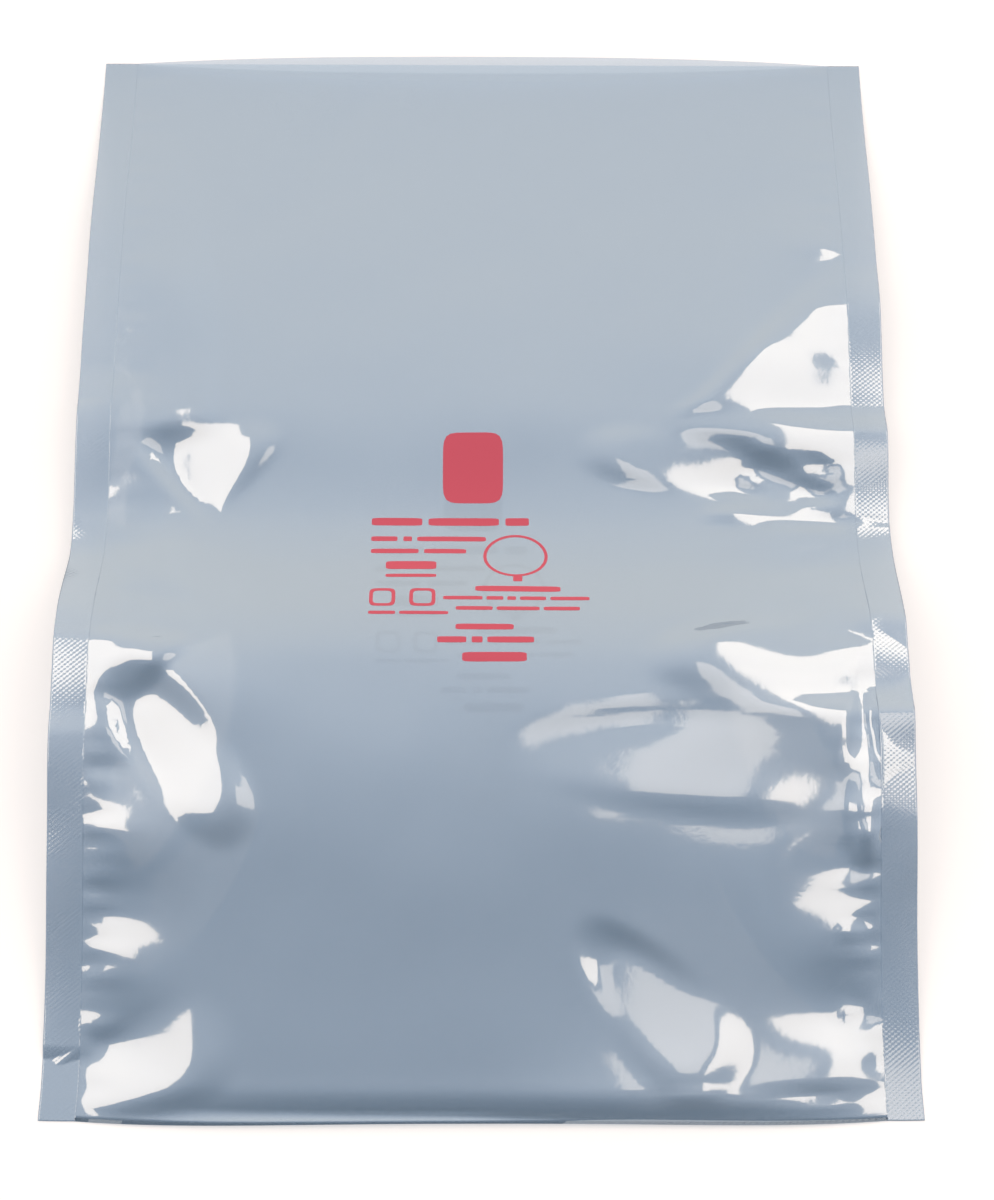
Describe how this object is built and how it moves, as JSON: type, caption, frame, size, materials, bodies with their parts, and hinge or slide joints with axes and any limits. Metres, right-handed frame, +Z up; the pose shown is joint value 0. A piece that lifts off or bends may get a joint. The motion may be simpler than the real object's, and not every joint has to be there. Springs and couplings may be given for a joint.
{
  "type": "anti static shielding bag",
  "caption": "Open-top anti static shielding bag of metallised film, folded at the bottom and heat sealed along both sides, lying flat with a soft fold across its middle.",
  "frame": {"origin": "middle of the bag's own box, on the table it lies on", "axes": "+Y runs from the bottom fold to the open mouth, +X across the bag to the right seal as seen from above with the mouth away from the viewer, +Z up"},
  "size_m": [0.254, 0.3496, 0.0276],
  "materials": {
    "film": "metallised, see-through blue-grey film with a mirror-like gloss"
  },
  "bodies": {
    "root": {"film_bag": "film"}
  },
  "joints": []
}
